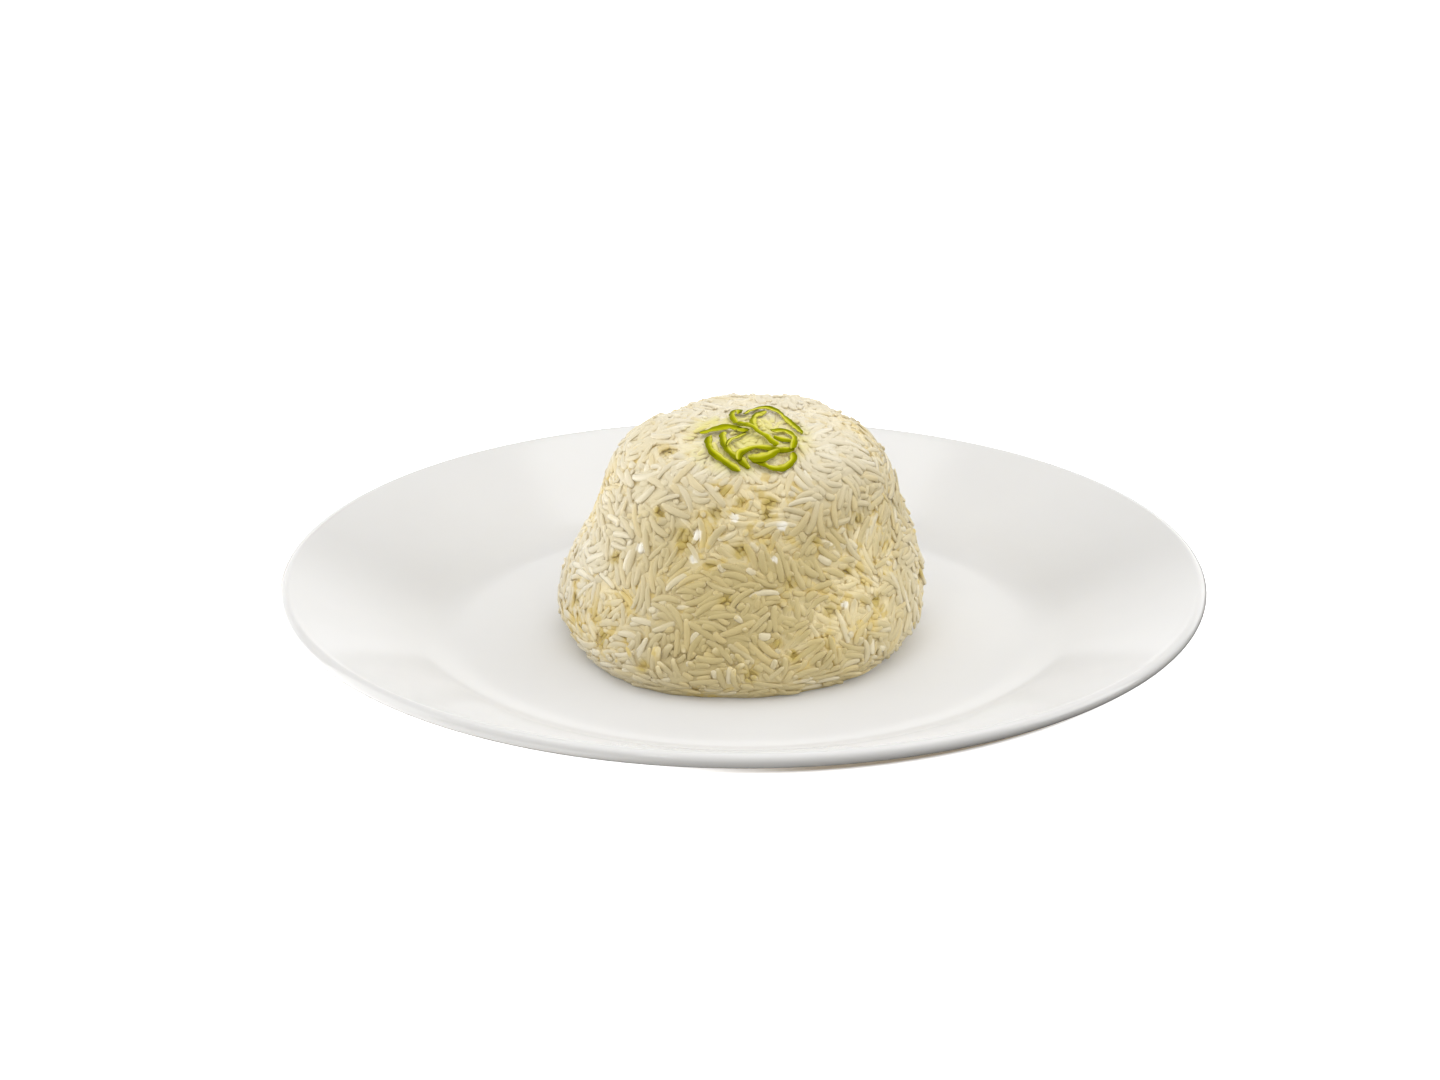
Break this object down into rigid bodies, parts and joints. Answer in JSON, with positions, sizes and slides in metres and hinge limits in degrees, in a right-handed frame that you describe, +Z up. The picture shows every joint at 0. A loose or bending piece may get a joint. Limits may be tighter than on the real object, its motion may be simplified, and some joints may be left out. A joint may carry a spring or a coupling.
{
  "type": "plate of moulded rice",
  "caption": "Round white dinner plate with a rolled lip, a moulded mound of long-grain rice in its well and a loose tangle of green herb shreds on the mound's shoulder.",
  "frame": {"origin": "on the table, at the middle of the plate's foot ring", "axes": "+Z up out of the table, -Y towards the diner, so that the garnish is on the mound's front shoulder, +X to the diner's right"},
  "size_m": [0.27, 0.27, 0.0755],
  "materials": {
    "porcelain": "gloss glaze, with a bare ring on the foot",
    "rice": "moist, soft and slightly translucent",
    "herb": "fresh, moist leaf"
  },
  "bodies": {
    "root": {"plate": "porcelain", "rice_mound": "rice", "herb_shred_01": "herb", "herb_shred_02": "herb", "herb_shred_03": "herb", "herb_shred_04": "herb", "herb_shred_05": "herb", "herb_shred_06": "herb", "herb_shred_07": "herb", "herb_shred_08": "herb", "herb_shred_09": "herb", "herb_shred_10": "herb", "herb_shred_11": "herb", "herb_shred_12": "herb"}
  },
  "joints": []
}
